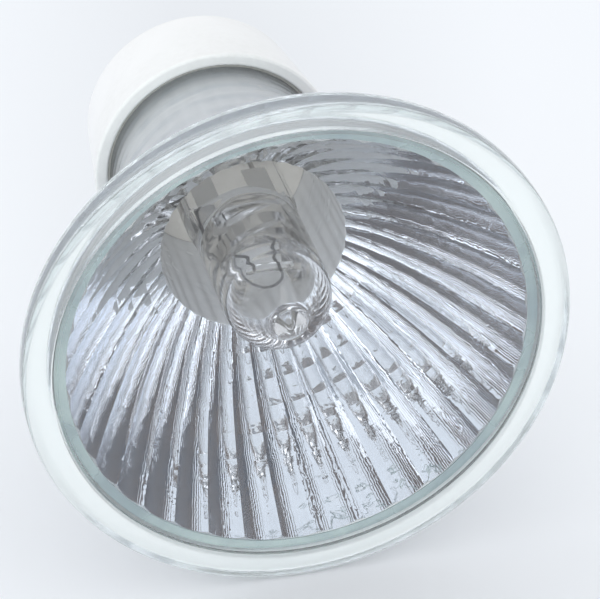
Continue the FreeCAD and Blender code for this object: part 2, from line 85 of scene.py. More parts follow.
class Outline:
    """A profile in the half plane of radius and y, drawn on from its last point."""

    def __init__(self, radius: float, y: float) -> None:
        """Starts the profile at one point."""
        self.points: list[Spot] = [(radius, y)]

    def to(self, radius: float, y: float) -> "Outline":
        """Draws a straight side to a point."""
        self.points.append((radius, y))
        return self

    def arc(self, centre: Spot, end: Spot, count: int) -> "Outline":
        """Draws an arc about a centre, the short way round.

        Args:
            centre: The arc's centre.
            end: The point at which the arc stops.
            count: The number of straight pieces that stand for the arc.

        Returns:
            The outline itself.
        """
        start = Vector(self.points[-1]) - Vector(centre)
        finish = Vector(end) - Vector(centre)
        first = math.atan2(start.y, start.x)
        sweep = math.atan2(finish.y, finish.x) - first
        sweep = (sweep + math.pi) % math.tau - math.pi
        for step in range(1, count + 1):
            turn = first + sweep * step / count
            self.points.append((centre[0] + start.length * math.cos(turn),
                                centre[1] + start.length * math.sin(turn)))
        return self


class Bench:
    """The modelling bench: each tool is a thin layer over Blender's own operators."""

    @staticmethod
    def clear() -> None:
        """Leaves edit mode and deselects everything."""
        if bpy.context.mode != "OBJECT":
            bpy.ops.object.mode_set(mode="OBJECT")
        bpy.ops.object.select_all(action="DESELECT")

    @staticmethod
    def pick(piece: bpy.types.Object) -> None:
        """Makes one object the active one and the only one selected.

        Args:
            piece: The object.
        """
        Bench.clear()
        piece.select_set(True)
        bpy.context.view_layer.objects.active = piece

    @staticmethod
    def edit(piece: bpy.types.Object) -> None:
        """Opens one object in edit mode with all of its mesh selected.

        Args:
            piece: The object.
        """
        Bench.pick(piece)
        bpy.ops.object.mode_set(mode="EDIT")
        bpy.ops.mesh.select_mode(type="VERT")
        bpy.ops.mesh.select_all(action="SELECT")

    @staticmethod
    def named(name: str) -> bpy.types.Object:
        """Names the object that an operator has just added.

        Args:
            name: The name of the object and of its mesh.

        Returns:
            The object.
        """
        piece = bpy.context.active_object
        piece.name = name
        piece.data.name = name
        return piece

    @staticmethod
    def line(name: str, places: Sequence[Vector]) -> bpy.types.Object:
        """Draws a chain of edges and stays in edit mode.

        Args:
            name: The name of the new object.
            places: The chain's points, in order.

        Returns:
            The new object.
        """
        Bench.clear()
        bpy.ops.mesh.primitive_circle_add(vertices=3, radius=MM)
        piece = Bench.named(name)
        Bench.edit(piece)
        bpy.ops.mesh.merge(type="CENTER")
        bpy.ops.transform.translate(value=places[0])
        for here, there in zip(places, places[1:]):
            bpy.ops.mesh.extrude_vertices_move(TRANSFORM_OT_translate={"value": there - here})
        return piece

    @staticmethod
    def weld(inside: bool = False, reach: float = WELD) -> None:
        """Merges doubled points and turns the faces of the open mesh one way.

        Args:
            inside: Whether the faces point towards the inside.
            reach: The distance within which points are merged.
        """
        bpy.ops.mesh.select_all(action="SELECT")
        bpy.ops.mesh.remove_doubles(threshold=reach)
        bpy.ops.mesh.normals_make_consistent(inside=inside)

    @staticmethod
    def lathe(name: str, profile: Outline, steps: int, inside: bool = False) -> bpy.types.Object:
        """Turns a profile a full round about the lamp's axis.

        Args:
            name: The name of the new object.
            profile: The profile to turn.
            steps: The number of faces round the axis.
            inside: Whether the faces point towards the inside, as on the wall of a void.

        Returns:
            The new object, in object mode.
        """
        piece = Bench.line(name, [Vector((radius, y, 0.0)) for radius, y in profile.points])
        bpy.ops.mesh.select_all(action="SELECT")
        bpy.ops.mesh.spin(steps=steps, angle=math.tau, center=ORIGIN, axis=AXIS)
        Bench.weld(inside)
        Bench.clear()
        return piece

    @staticmethod
    def select_edges(piece: bpy.types.Object, test: Callable[[bmesh.types.BMEdge], bool]) -> None:
        """Selects the edges that pass a test, and no others.

        Args:
            piece: The object, in edit mode.
            test: Says whether an edge is wanted.
        """
        bpy.ops.mesh.select_mode(type="EDGE")
        bpy.ops.mesh.select_all(action="DESELECT")
        mesh = bmesh.from_edit_mesh(piece.data)
        for edge in mesh.edges:
            edge.select_set(test(edge))
        bmesh.update_edit_mesh(piece.data)

    @staticmethod
    def select_faces(piece: bpy.types.Object, test: Callable[[bmesh.types.BMFace], bool]) -> None:
        """Selects the faces that pass a test, and no others.

        Args:
            piece: The object, in edit mode.
            test: Says whether a face is wanted.
        """
        bpy.ops.mesh.select_mode(type="FACE")
        bpy.ops.mesh.select_all(action="DESELECT")
        mesh = bmesh.from_edit_mesh(piece.data)
        for face in mesh.faces:
            face.select_set(test(face))
        bmesh.update_edit_mesh(piece.data)

    @staticmethod
    def assign(piece: bpy.types.Object, slot: int) -> None:
        """Gives the selected faces the material of a slot."""
        piece.active_material_index = slot
        bpy.ops.object.material_slot_assign()

    @staticmethod
    def join(main: bpy.types.Object, other: bpy.types.Object) -> None:
        """Joins one object into another.

        Args:
            main: The object that stays.
            other: The object that becomes part of it.
        """
        Bench.pick(main)
        other.select_set(True)
        bpy.ops.object.join()

    @staticmethod
    def smooth(piece: bpy.types.Object, degrees: float = 32.0) -> None:
        """Shades a piece smooth, apart from its sharp edges and those marked sharp.

        Args:
            piece: The object.
            degrees: The angle between faces past which an edge is sharp.
        """
        Bench.pick(piece)
        bpy.ops.object.shade_smooth_by_angle(angle=math.radians(degrees), keep_sharp_edges=True)
        Bench.clear()

    @staticmethod
    def settle(piece: bpy.types.Object) -> None:
        """Puts a piece's place into its mesh, so that its object sits at the origin.

        Args:
            piece: The object.
        """
        Bench.pick(piece)
        bpy.ops.object.transform_apply(location=True, rotation=True, scale=True)
        Bench.clear()

    @staticmethod
    def finish_with(piece: bpy.types.Object, kind: str, **settings: object) -> None:
        """Adds a modifier with its settings and applies it.

        Args:
            piece: The object to change.
            kind: The modifier's type.
            **settings: The modifier's properties by name.
        """
        Bench.pick(piece)
        modifier = piece.modifiers.new(kind.title(), kind)
        for key, value in settings.items():
            setattr(modifier, key, value)
        bpy.ops.object.modifier_apply(modifier=modifier.name)
        Bench.clear()


def mount(piece: bpy.types.Object, slot: str, *nodes: str) -> None:
    """Sets a finished piece on the lamp in place of its CAD nodes.

    Args:
        piece: The finished piece.
        slot: The name of the record's material slot; not used.
        *nodes: The CAD nodes that it stands for.
    """
    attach(piece, BODY)
    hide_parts(*nodes)
    LOG.info("%s stands for %s", piece.name, ", ".join(nodes))


class Graph:
    """A node tree, with short calls that add nodes and join them."""

    # The Mix node's sockets for colours have the same names as those for its other types.
    FIRST_COLOUR = 6
    SECOND_COLOUR = 7
    MIXED_COLOUR = 2

    def __init__(self, tree: bpy.types.NodeTree) -> None:
        """Starts from an empty tree."""
        self.tree = tree
        tree.nodes.clear()

    def add(self, kind: str, settings: dict[str, object] | None = None,
            **inputs: object) -> bpy.types.Node:
        """Adds a node.

        Args:
            kind: The node's type without its ShaderNode prefix.
            settings: Properties of the node itself.
            **inputs: Values or sockets for its inputs, by the input's name with _ for a space.

        Returns:
            The new node.
        """
        node = self.tree.nodes.new(f"ShaderNode{kind}")
        for key, value in (settings or {}).items():
            setattr(node, key, value)
        for key, value in inputs.items():
            self.feed(node.inputs[key.replace("_", " ")], value)
        return node

    def feed(self, socket: bpy.types.NodeSocket, value: object) -> None:
        """Joins an output to a socket, or sets the socket's own value.

        Args:
            socket: The input socket.
            value: An output socket or a value.
        """
        if isinstance(value, bpy.types.NodeSocket):
            self.tree.links.new(value, socket)
        else:
            socket.default_value = value

    def math(self, operation: str, first: object, second: object) -> bpy.types.NodeSocket:
        """Adds a math node.

        Args:
            operation: The operation's name.
            first: Its first value or socket.
            second: Its second value or socket.

        Returns:
            The result.
        """
        node = self.add("Math", {"operation": operation})
        self.feed(node.inputs[0], first)
        self.feed(node.inputs[1], second)
        return node.outputs[0]

    def spread(self, value: bpy.types.NodeSocket, low: float, high: float) -> bpy.types.NodeSocket:
        """Spreads a value from 0 to 1 over a range."""
        node = self.add("MapRange", Value=value, To_Min=low, To_Max=high)
        return node.outputs["Result"]

    def bump(self, height: bpy.types.NodeSocket, strength: float, reach: float,
             under: bpy.types.NodeSocket | None = None) -> bpy.types.NodeSocket:
        """Turns a height into a normal.

        Args:
            height: The height, about 0 to 1.
            strength: The share of the bump that shows.
            reach: The length that a height of 1 stands for.
            under: The normal of a bump on which this one lies.

        Returns:
            The normal.
        """
        node = self.add("Bump", Height=height, Strength=strength, Distance=reach)
        if under:
            self.feed(node.inputs["Normal"], under)
        return node.outputs["Normal"]

    def blend(self, factor: bpy.types.NodeSocket, first: object, second: object) -> bpy.types.NodeSocket:
        """Blends two colours by a factor.

        Args:
            factor: The share of the second colour.
            first: The colour or socket at 0.
            second: The colour or socket at 1.

        Returns:
            The blended colour.
        """
        node = self.add("Mix", {"data_type": "RGBA"}, Factor=factor)
        self.feed(node.inputs[self.FIRST_COLOUR], first)
        self.feed(node.inputs[self.SECOND_COLOUR], second)
        return node.outputs[self.MIXED_COLOUR]

    def mix_shaders(self, factor: bpy.types.NodeSocket, first: bpy.types.Node,
                    second: bpy.types.Node) -> bpy.types.NodeSocket:
        """Mixes two shaders by a factor.

        Args:
            factor: The share of the second shader.
            first: The shader's node at 0.
            second: The shader's node at 1.

        Returns:
            The mixed shader.
        """
        node = self.add("MixShader", Fac=factor)
        self.feed(node.inputs[1], first.outputs[0])
        self.feed(node.inputs[2], second.outputs[0])
        return node.outputs["Shader"]


class Effect(Enum):
    """Surface effects that several finishes share, each a node group."""

    GRAIN = "fine_grain"
    CLOUD = "soft_cloud"
    RINGS = "turned_rings"


def effect_group(effect: Effect) -> bpy.types.ShaderNodeTree:
    """Builds the node group of an effect once and returns it.

    Args:
        effect: The effect.

    Returns:
        A group with a Scale input, a Value output from 0 to 1 and a Height output for a bump.
    """
    known = bpy.data.node_groups.get(effect.value)
    if known:
        return known
    group = bpy.data.node_groups.new(effect.value, "ShaderNodeTree")
    for name, way in (("Scale", "INPUT"), ("Value", "OUTPUT"), ("Height", "OUTPUT")):
        group.interface.new_socket(name, in_out=way, socket_type="NodeSocketFloat")
    graph = Graph(group)
    entry = group.nodes.new("NodeGroupInput")
    way_out = group.nodes.new("NodeGroupOutput")
    place = graph.add("TexCoord").outputs["Object"]
    if effect is Effect.GRAIN:
        noise = graph.add("TexNoise", Vector=place, Scale=entry.outputs["Scale"], Detail=6.0,
                          Roughness=0.65)
        cells = graph.add("TexVoronoi", Vector=place, Scale=entry.outputs["Scale"])
        height = graph.math("MULTIPLY", noise.outputs["Fac"], cells.outputs["Distance"])
    elif effect is Effect.RINGS:
        pace = graph.math("MULTIPLY", entry.outputs["Scale"], math.tau / WAVE_PACE)
        noise = graph.add("TexWave", {"bands_direction": "Y"}, Vector=place, Scale=pace,
                          Distortion=1.5, Detail=2.0)
        height = noise.outputs["Fac"]
    else:
        noise = graph.add("TexNoise", Vector=place, Scale=entry.outputs["Scale"], Detail=3.0,
                          Roughness=0.5, Distortion=0.6)
        height = noise.outputs["Fac"]
    value = graph.add("MapRange", Value=noise.outputs["Fac"], From_Min=0.3, From_Max=0.7)
    graph.feed(way_out.inputs["Value"], value.outputs["Result"])
    graph.feed(way_out.inputs["Height"], height)
    return group


def place_effect(graph: Graph, effect: Effect, scale: float) -> bpy.types.Node:
    """Places an effect's group in a material.

    Args:
        graph: The material's node tree.
        effect: The effect.
        scale: Its scale, in waves to the metre.

    Returns:
        The group's node.
    """
    node = graph.add("Group", {"node_tree": effect_group(effect)})
    node.inputs["Scale"].default_value = scale
    return node


def new_material(name: str) -> tuple[bpy.types.Material, Graph, bpy.types.Node]:
    """Starts a material.

    Args:
        name: The material's name.

    Returns:
        The material, its graph and its output node.
    """
    material = bpy.data.materials.new(name)
    material.use_nodes = True
    graph = Graph(material.node_tree)
    return material, graph, graph.add("OutputMaterial")


@dataclass(frozen=True)
class ClearGlass:
    """Clear, hazy or milky glass that lets shadow rays through."""

    name: str
    ior: float = 1.5
    tint: Colour = (0.95, 0.98, 0.972, 1.0)
    deep: Colour | None = None
    clarity: float = 1.0
    cloud_scale: float = 140.0
    haze_low: float = 0.0
    haze_high: float = 0.012
    ripple: float = 0.0
    rings: float = 0.0
    ring_scale: float = 900.0
    ripple_depth: float = 0.05 * MM

    def make(self) -> bpy.types.Material:
        """Builds the material.

        Returns:
            The material, in two tones where a deep one is given.
        """
        material, graph, output = new_material(self.name)
        cloud = place_effect(graph, Effect.CLOUD, self.cloud_scale)
        haze = graph.spread(cloud.outputs["Value"], self.haze_low, self.haze_high)
        normal = graph.bump(cloud.outputs["Height"], self.ripple, self.ripple_depth)
        if self.rings:
            rings = place_effect(graph, Effect.RINGS, self.ring_scale)
            normal = graph.bump(rings.outputs["Height"], self.rings, self.ripple_depth, normal)
        colour = self.tint
        if self.deep:
            colour = graph.blend(cloud.outputs["Value"], self.tint, self.deep)
        glass = graph.add("BsdfPrincipled", Base_Color=colour, Roughness=haze, IOR=self.ior,
                          Transmission_Weight=self.clarity, Normal=normal)
        clear = graph.add("BsdfTransparent", Color=self.tint)
        shadow = graph.add("LightPath").outputs["Is Shadow Ray"]
        graph.feed(output.inputs["Surface"], graph.mix_shaders(shadow, glass, clear))
        return material


@dataclass(frozen=True)
class Metal:
    """Bare or plated metal with a cloudy sheen and a fine grain."""

    name: str
    bright: Colour
    dull: Colour
    polish: float = 0.1
    scuff: float = 0.25
    cloud_scale: float = 200.0
    grain_scale: float = 4000.0
    grain: float = 0.1
    grain_depth: float = 0.02 * MM
    wave_scale: float = 350.0
    wave: float = 0.0
    wave_depth: float = 0.05 * MM

    def make(self) -> bpy.types.Material:
        """Builds the material.

        Returns:
            The material, with slow waves under the grain where they are given.
        """
        material, graph, output = new_material(self.name)
        cloud = place_effect(graph, Effect.CLOUD, self.cloud_scale)
        fine = place_effect(graph, Effect.GRAIN, self.grain_scale)
        colour = graph.blend(cloud.outputs["Value"], self.bright, self.dull)
        sheen = graph.spread(cloud.outputs["Value"], self.polish, self.scuff)
        normal = graph.bump(fine.outputs["Height"], self.grain, self.grain_depth)
        if self.wave:
            waves = place_effect(graph, Effect.CLOUD, self.wave_scale)
            normal = graph.bump(waves.outputs["Height"], self.wave, self.wave_depth, normal)
        metal = graph.add("BsdfPrincipled", Base_Color=colour, Roughness=sheen, Metallic=1.0,
                          Normal=normal)
        graph.feed(output.inputs["Surface"], metal.outputs["BSDF"])
        return material


@dataclass(frozen=True)
class Earthen:
    """Ceramic, cement, etched foil or a coat on glass: a cloudy body colour and a grainy surface, with a
    painted sheen on a coat's back faces.
    """

    name: str
    pale: Colour
    deep: Colour
    smooth: float = 0.4
    rough: float = 0.6
    cloud_scale: float = 120.0
    grain_scale: float = 1500.0
    grain: float = 0.15
    grain_depth: float = 0.05 * MM
    painted_back_sheen: Colour | None = None
    sheen_streak_scale: float = 430.0

    def make(self) -> bpy.types.Material:
        """Builds the material.

        Returns:
            The material, with a painted sheen in pale streaks on the back faces, where a coat is seen
            through its glass.
        """
        material, graph, output = new_material(self.name)
        cloud = place_effect(graph, Effect.CLOUD, self.cloud_scale)
        fine = place_effect(graph, Effect.GRAIN, self.grain_scale)
        tone = graph.math("MULTIPLY", cloud.outputs["Value"], fine.outputs["Value"])
        colour = graph.blend(tone, self.pale, self.deep)
        # Painted reflection: faces seen from behind take a pale colour in streaks, standing in for the
        # coat's mirror sheen through the glass.
        if self.painted_back_sheen:
            side = graph.add("NewGeometry").outputs["Backfacing"]
            rings = place_effect(graph, Effect.RINGS, self.sheen_streak_scale)
            share = graph.math("MULTIPLY", rings.outputs["Value"], cloud.outputs["Value"])
            colour = graph.blend(side, colour, graph.blend(share, self.painted_back_sheen, colour))
        gloss = graph.spread(cloud.outputs["Value"], self.smooth, self.rough)
        normal = graph.bump(fine.outputs["Height"], self.grain, self.grain_depth)
        body = graph.add("BsdfPrincipled", Base_Color=colour, Roughness=gloss, Normal=normal)
        graph.feed(output.inputs["Surface"], body.outputs["BSDF"])
        return material


Finish = ClearGlass | Metal | Earthen


@lru_cache(maxsize=None)
def material_of(finish: Finish) -> bpy.types.Material:
    """Builds the material of a finish once and returns it each time.

    Args:
        finish: The finish.

    Returns:
        Its material.
    """
    return finish.make()


PRESSED_GLASS = ClearGlass("clear_pressed_glass", tint=(0.91, 0.95, 0.94, 1.0), clarity=0.86,
                           haze_low=0.06, haze_high=0.16, ripple=0.08)
BOWL_BACK = ClearGlass("pressed_bowl_back", haze_low=0.14, haze_high=0.3, ripple=0.2, rings=0.5)
PLATE_GLASS = ClearGlass("clear_plate_glass", tint=(0.985, 0.992, 0.992, 1.0))
GROUND_EDGE = ClearGlass("ground_glass_edge", tint=(0.95, 0.975, 0.97, 1.0), haze_low=0.35,
                         haze_high=0.6)
CLEAR_SEALANT = ClearGlass("milky_sealant", ior=1.41, tint=(0.64, 0.74, 0.73, 1.0),
                           deep=(0.46, 0.55, 0.58, 1.0), clarity=0.55, haze_low=0.15,
                           haze_high=0.35, ripple=0.3)
QUARTZ = ClearGlass("clear_quartz", ior=1.46, tint=(0.99, 0.99, 0.99, 1.0), haze_low=0.03,
                    haze_high=0.08, ripple=0.1)
SILVERING = Metal("vapour_silvering", (0.90, 0.93, 0.97, 1.0), (0.85, 0.88, 0.92, 1.0), polish=0.015,
                  scuff=0.05, cloud_scale=260.0, grain_scale=700.0, grain=0.06, wave=0.8)
TUNGSTEN = Metal("coiled_tungsten", (0.42, 0.42, 0.43, 1.0), (0.28, 0.28, 0.29, 1.0), 0.35, 0.5)
# The leads' metal is made nearly black.
LEAD_WIRE = Metal("dark_lead_wire", (0.13, 0.115, 0.105, 1.0), (0.08, 0.07, 0.065, 1.0), 0.45, 0.6)
FOIL = Earthen("etched_foil", (0.90, 0.89, 0.86, 1.0), (0.80, 0.79, 0.76, 1.0), 0.5, 0.7)
TAIL_WIRE = Metal("nickel_wire", (0.58, 0.57, 0.55, 1.0), (0.44, 0.43, 0.41, 1.0), 0.25, 0.45)
PIN_PLATE = Metal("nickel_plate", (0.80, 0.79, 0.76, 1.0), (0.64, 0.63, 0.60, 1.0), 0.15, 0.35)
SOLDER = Metal("grey_solder", (0.66, 0.66, 0.68, 1.0), (0.50, 0.50, 0.52, 1.0), 0.3, 0.5)
CERAMIC = Earthen("fired_ceramic", (0.93, 0.935, 0.935, 1.0), (0.86, 0.865, 0.86, 1.0), 0.35, 0.55)
# The neck coat's back faces carry a painted sheen: pale streaks in place of the silver coat's reflection
# seen through the glass.
NECK_COAT = Earthen("grey_neck_coat", (0.86, 0.88, 0.91, 1.0), (0.73, 0.76, 0.79, 1.0), 0.16, 0.3,
                    cloud_scale=400.0, grain_scale=900.0, grain=0.1, painted_back_sheen=(0.97, 0.975, 0.99, 1.0))
# Painted shade: the cement's colour is made darker than light real cement, to stand for the shade deep
# in the neck.
CEMENT_PAINTED_SHADE = Earthen("grainy_cement_painted_shade", (0.49, 0.48, 0.455, 1.0), (0.39, 0.38, 0.355, 1.0), 0.8, 0.95,
                 cloud_scale=300.0, grain_scale=1400.0, grain=0.6, grain_depth=0.15 * MM)


class ReflectorSlot(IntEnum):
    """The material slots of the reflector's mesh, in their order."""

    RIM = 0
    NECK_COAT = 1
    MIRROR = 2
    BACK = 3


@dataclass
class Reflector:
    """The pressed glass bowl with its flat rim, fluted mirror and neck, as one closed mesh."""

    lip_width: float = 2.6 * MM
    ledge_width: float = 1.6 * MM
    ledge_depth: float = 1.8
    rim_depth: float = 3.1
    front_round: float = 0.9 * MM
    back_round: float = 1.3 * MM
    edge_round: float = 0.2 * MM
    bowl_wall: float = 1.8 * MM
    bowl_arc: float = 68.0 * MM
    bowl_root: float = 0.5 * MM
    neck_top_depth: float = 21.2
    neck_end_depth: float = 41.5
    neck_fillet: float = 4.0 * MM
    neck_r: float = 10.9 * MM
    bore_r: float = 8.95 * MM
    focal: float = 4.83 * MM
    flute_depth: float = 0.28 * MM
    flutes: int = 36
    flute_steps: int = 10
    rows: int = 8
    edge_steps: int = 4
    front_steps: int = 8
    back_steps: int = 10
    bowl_steps: int = 24
    solve_rounds: int = 20
    seam_reach: float = 0.02 * MM

    @property
    def recess_r(self) -> float:
        """The radius of the recess for the front glass."""
        return RIM_R - self.lip_width

    @property
    def ledge_inner_r(self) -> float:
        """The radius at which the plain ledge meets the flutes."""
        return self.mouth_r + 2 * self.flute_depth

    @property
    def mouth_r(self) -> float:
        """The radius at which the mirror's ridges meet the ledge."""
        return self.recess_r - self.ledge_width

    def build(self) -> None:
        """Models the glass and the mirror and closes them into one mesh."""
        piece = self.turn_glass()
        mirror = self.press_mirror()
        piece.data.materials.append(material_of(PRESSED_GLASS))
        piece.data.materials.append(material_of(NECK_COAT))
        mirror.data.materials.append(material_of(SILVERING))
        Bench.join(piece, mirror)
        piece.data.materials.append(material_of(BOWL_BACK))
        self.close(piece)
        Bench.smooth(piece)
        mount(piece, "mirror_glass", "reflector")

    def turn_glass(self) -> bpy.types.Object:
        """Turns the outside of the glass, from the ledge round the rim to the bore.

        Returns:
            The glass, open where the mirror closes it.
        """
        ledge_y, face_y, back_y = depth(self.ledge_depth), depth(0.0), depth(self.rim_depth)
        end_y = depth(self.neck_end_depth)
        edge, steps = self.edge_round, self.edge_steps
        profile = Outline(self.ledge_inner_r, ledge_y)
        profile.to(self.recess_r - edge, ledge_y)
        profile.arc((self.recess_r - edge, ledge_y - edge), (self.recess_r, ledge_y - edge), steps)
        profile.to(self.recess_r, face_y + edge)
        profile.arc((self.recess_r + edge, face_y + edge), (self.recess_r + edge, face_y), steps)
        profile.to(RIM_R - self.front_round, face_y)
        profile.arc((RIM_R - self.front_round, face_y + self.front_round),
                    (RIM_R, face_y + self.front_round), self.front_steps)
        profile.to(RIM_R, back_y - self.back_round)
        profile.arc((RIM_R - self.back_round, back_y - self.back_round),
                    (RIM_R - self.back_round, back_y), self.back_steps)
        self.draw_bowl(profile)
        profile.to(self.neck_r, end_y - edge)
        profile.arc((self.neck_r - edge, end_y - edge), (self.neck_r - edge, end_y), steps)
        profile.to(self.bore_r + edge, end_y)
        profile.arc((self.bore_r + edge, end_y - edge), (self.bore_r, end_y - edge), steps)
        profile.to(self.bore_r, self.mirror_y(self.bore_r) + edge)
        return Bench.lathe("reflector_glass", profile, self.flutes * self.flute_steps)

    def draw_bowl(self, profile: Outline) -> None:
        """Draws the bowl's back from the rim to the neck, with its root and the neck's blend.

        Args:
            profile: The profile, which ends on the back of the rim.
        """
        top = Vector((self.mouth_r + self.bowl_wall, depth(self.rim_depth)))
        low = Vector((self.neck_r, depth(self.neck_top_depth)))
        chord = low - top
        inward = Vector((-chord.y, chord.x)).normalized()
        rise = math.sqrt(self.bowl_arc ** 2 - chord.length_squared / 4)
        centre = (top + low) / 2 + inward * rise
        root = self.tangent(centre, Vector((0.0, top.y + self.bowl_root)), Vector((1.0, 0.0)),
                            self.bowl_root)
        blend = self.tangent(centre, Vector((self.neck_r + self.neck_fillet, 0.0)),
                             Vector((0.0, 1.0)), self.neck_fillet)
        root_end = centre + (root - centre).normalized() * self.bowl_arc
        blend_start = centre + (blend - centre).normalized() * self.bowl_arc
        profile.to(root.x, top.y)
        profile.arc(tuple(root), tuple(root_end), self.edge_steps)
        profile.arc(tuple(centre), tuple(blend_start), self.bowl_steps)
        profile.arc(tuple(blend), (self.neck_r, blend.y), self.back_steps)

    def tangent(self, centre: Vector, start: Vector, way: Vector, radius: float) -> Vector:
        """Finds the centre of a fillet outside the bowl's arc.

        Args:
            centre: The centre of the bowl's arc.
            start: A point of the line on which the fillet's centre lies.
            way: The line's direction, towards the side of the arc that is wanted.
            radius: The fillet's radius.

        Returns:
            The fillet's centre.
        """
        offset = start - centre
        along = offset.dot(way)
        reach = math.sqrt(along ** 2 - offset.length_squared + (self.bowl_arc + radius) ** 2)
        return start + way * (reach - along)

    def mirror_y(self, radius: float) -> float:
        """The y of the mirror's parabola at a radius."""
        return depth(self.ledge_depth) + (self.mouth_r ** 2 - radius ** 2) / (4 * self.focal)

    def arc_length(self, radius: float) -> float:
        """The length of the mirror's parabola from the axis out to a radius."""
        share = radius / (2 * self.focal)
        return self.focal * (share * math.hypot(1.0, share) + math.asinh(share))

    def row_radii(self) -> list[float]:
        """Divides the mirror's parabola into rows of equal length.

        Returns:
            The radii between which the rows lie, from the mouth inwards.
        """
        first, last = self.arc_length(self.mouth_r), self.arc_length(self.bore_r)
        radii = []
        for row in range(self.rows + 1):
            wanted = first + (last - first) * row / self.rows
            radius = self.mouth_r
            for _ in range(self.solve_rounds):
                slope = math.hypot(1.0, radius / (2 * self.focal))
                radius -= (self.arc_length(radius) - wanted) / slope
            radii.append(radius)
        return radii

    def press_mirror(self) -> bpy.types.Object:
        """Draws one flute at the ledge, repeats it round the axis and draws the rows down from it.

        Returns:
            The mirror, whose open ends fit the glass.
        """
        half = math.pi / self.flutes
        half_width = self.mouth_r * math.sin(half)
        sag = self.mouth_r + self.flute_depth - self.mouth_r * math.cos(half)
        round_r = (half_width ** 2 + sag ** 2) / (2 * sag)
        centre_x = self.mouth_r + self.flute_depth - round_r
        swing = math.asin(half_width / round_r)
        ledge_y = depth(self.ledge_depth)
        places = []
        for step in range(self.flute_steps + 1):
            turn = swing * (2 * step / self.flute_steps - 1)
            places.append(Vector((centre_x + round_r * math.cos(turn), ledge_y,
                                  round_r * math.sin(turn))))
        piece = Bench.line("mirror", places)
        bpy.ops.mesh.select_all(action="SELECT")
        bpy.ops.mesh.spin(steps=self.flutes, dupli=True, angle=math.tau, center=ORIGIN, axis=AXIS)
        bpy.ops.mesh.select_all(action="SELECT")
        bpy.ops.mesh.remove_doubles(threshold=WELD)
        radii = self.row_radii()
        for outer, inner in zip(radii, radii[1:]):
            drop = self.mirror_y(inner) - self.mirror_y(outer)
            bpy.ops.mesh.extrude_edges_move(TRANSFORM_OT_translate={"value": (0.0, drop, 0.0)})
            scale = inner / outer
            bpy.ops.transform.resize(value=(scale, 1.0, scale), center_override=ORIGIN)
        Bench.select_edges(piece, self.is_crease)
        bpy.ops.mesh.mark_sharp()
        middle_y = depth((self.ledge_depth + self.neck_top_depth) / 2)
        self.round_off(piece, lambda y: y < middle_y, self.ledge_inner_r, ledge_y)
        self.round_off(piece, lambda y: y > middle_y, self.bore_r,
                       self.mirror_y(self.bore_r) + self.edge_round)
        Bench.clear()
        return piece

    def round_off(self, piece: bpy.types.Object, ring: Callable[[float], bool], radius: float,
                  y: float) -> None:
        """Draws an open ring of the mirror on to a plain circle of the glass.

        Args:
            piece: The mirror, in edit mode.
            ring: Says by its y whether a point belongs to the open ring.
            radius: The circle's radius.
            y: The circle's place on the axis.
        """
        Bench.select_edges(piece, lambda edge: edge.is_boundary and ring(edge.verts[0].co.y))
        here = self.selected_point(piece)
        bpy.ops.mesh.extrude_edges_move(TRANSFORM_OT_translate={"value": (0.0, y - here.y, 0.0)})
        bpy.ops.transform.tosphere(value=1.0)
        here = self.selected_point(piece)
        scale = radius / math.hypot(here.x, here.z)
        bpy.ops.transform.resize(value=(scale, 1.0, scale), center_override=ORIGIN)

    @staticmethod
    def selected_point(piece: bpy.types.Object) -> Vector:
        """The place of one of the selected points."""
        mesh = bmesh.from_edit_mesh(piece.data)
        return next(vertex.co.copy() for vertex in mesh.verts if vertex.select)

    def is_crease(self, edge: bmesh.types.BMEdge) -> bool:
        """Finds the mirror's edges between two rows and on the ridges between two flutes.

        Args:
            edge: An edge of the mirror.

        Returns:
            Whether it is one of them.
        """
        here, there = (vertex.co for vertex in edge.verts)
        if abs(here.y - there.y) < WELD:
            return True
        pitch = math.tau / self.flutes
        turns = (math.atan2(here.z, here.x) / pitch + 0.5) % 1.0
        return min(turns, 1.0 - turns) < 0.5 / self.flute_steps

    def close(self, piece: bpy.types.Object) -> None:
        """Welds the mirror to the glass and gives each of its faces the right finish.

        Args:
            piece: The joined glass and mirror.
        """
        ledge_y = depth(self.ledge_depth) + WELD
        hole_y = self.mirror_y(self.bore_r) - WELD
        coat_r = self.bore_r + self.edge_round
        Bench.edit(piece)
        Bench.weld(reach=self.seam_reach)
        Bench.select_faces(piece, lambda face: all(vertex.co.y < ledge_y for vertex in face.verts))
        Bench.assign(piece, ReflectorSlot.RIM)
        Bench.select_faces(piece, lambda face: all(
            vertex.co.y > hole_y and math.hypot(vertex.co.x, vertex.co.z) < coat_r
            for vertex in face.verts))
        Bench.assign(piece, ReflectorSlot.NECK_COAT)
        root_y = depth(self.rim_depth) + self.bowl_root
        Bench.select_faces(piece, lambda face: face.material_index == ReflectorSlot.RIM and all(
            vertex.co.y > root_y for vertex in face.verts))
        Bench.assign(piece, ReflectorSlot.BACK)
        Bench.clear()


@dataclass
class FrontGlass:
    """The flat front glass, with ground edges, that lies in the rim's recess."""

    front_depth: float = 0.2
    back_depth: float = 1.65
    edge_gap: float = 0.15 * MM
    chamfer: float = 0.25 * MM
    flat_from: float = 0.9
    steps: int = 192

    def build(self, recess_r: float) -> None:
        """Turns the glass and grinds its edges.

        Args:
            recess_r: The radius of the rim's recess.
        """
        front, back = depth(self.front_depth), depth(self.back_depth)
        edge_r = recess_r - self.edge_gap
        profile = Outline(0.0, front)
        profile.to(edge_r - self.chamfer, front).to(edge_r, front + self.chamfer)
        profile.to(edge_r, back - self.chamfer).to(edge_r - self.chamfer, back).to(0.0, back)
        piece = Bench.lathe("front_glass", profile, self.steps)
        piece.data.materials.append(material_of(PLATE_GLASS))
        piece.data.materials.append(material_of(GROUND_EDGE))
        Bench.edit(piece)
        Bench.select_faces(piece, lambda face: abs(face.normal.y) < self.flat_from)
        Bench.assign(piece, 1)
        Bench.smooth(piece)
        mount(piece, "front_glass", "cover_glass")


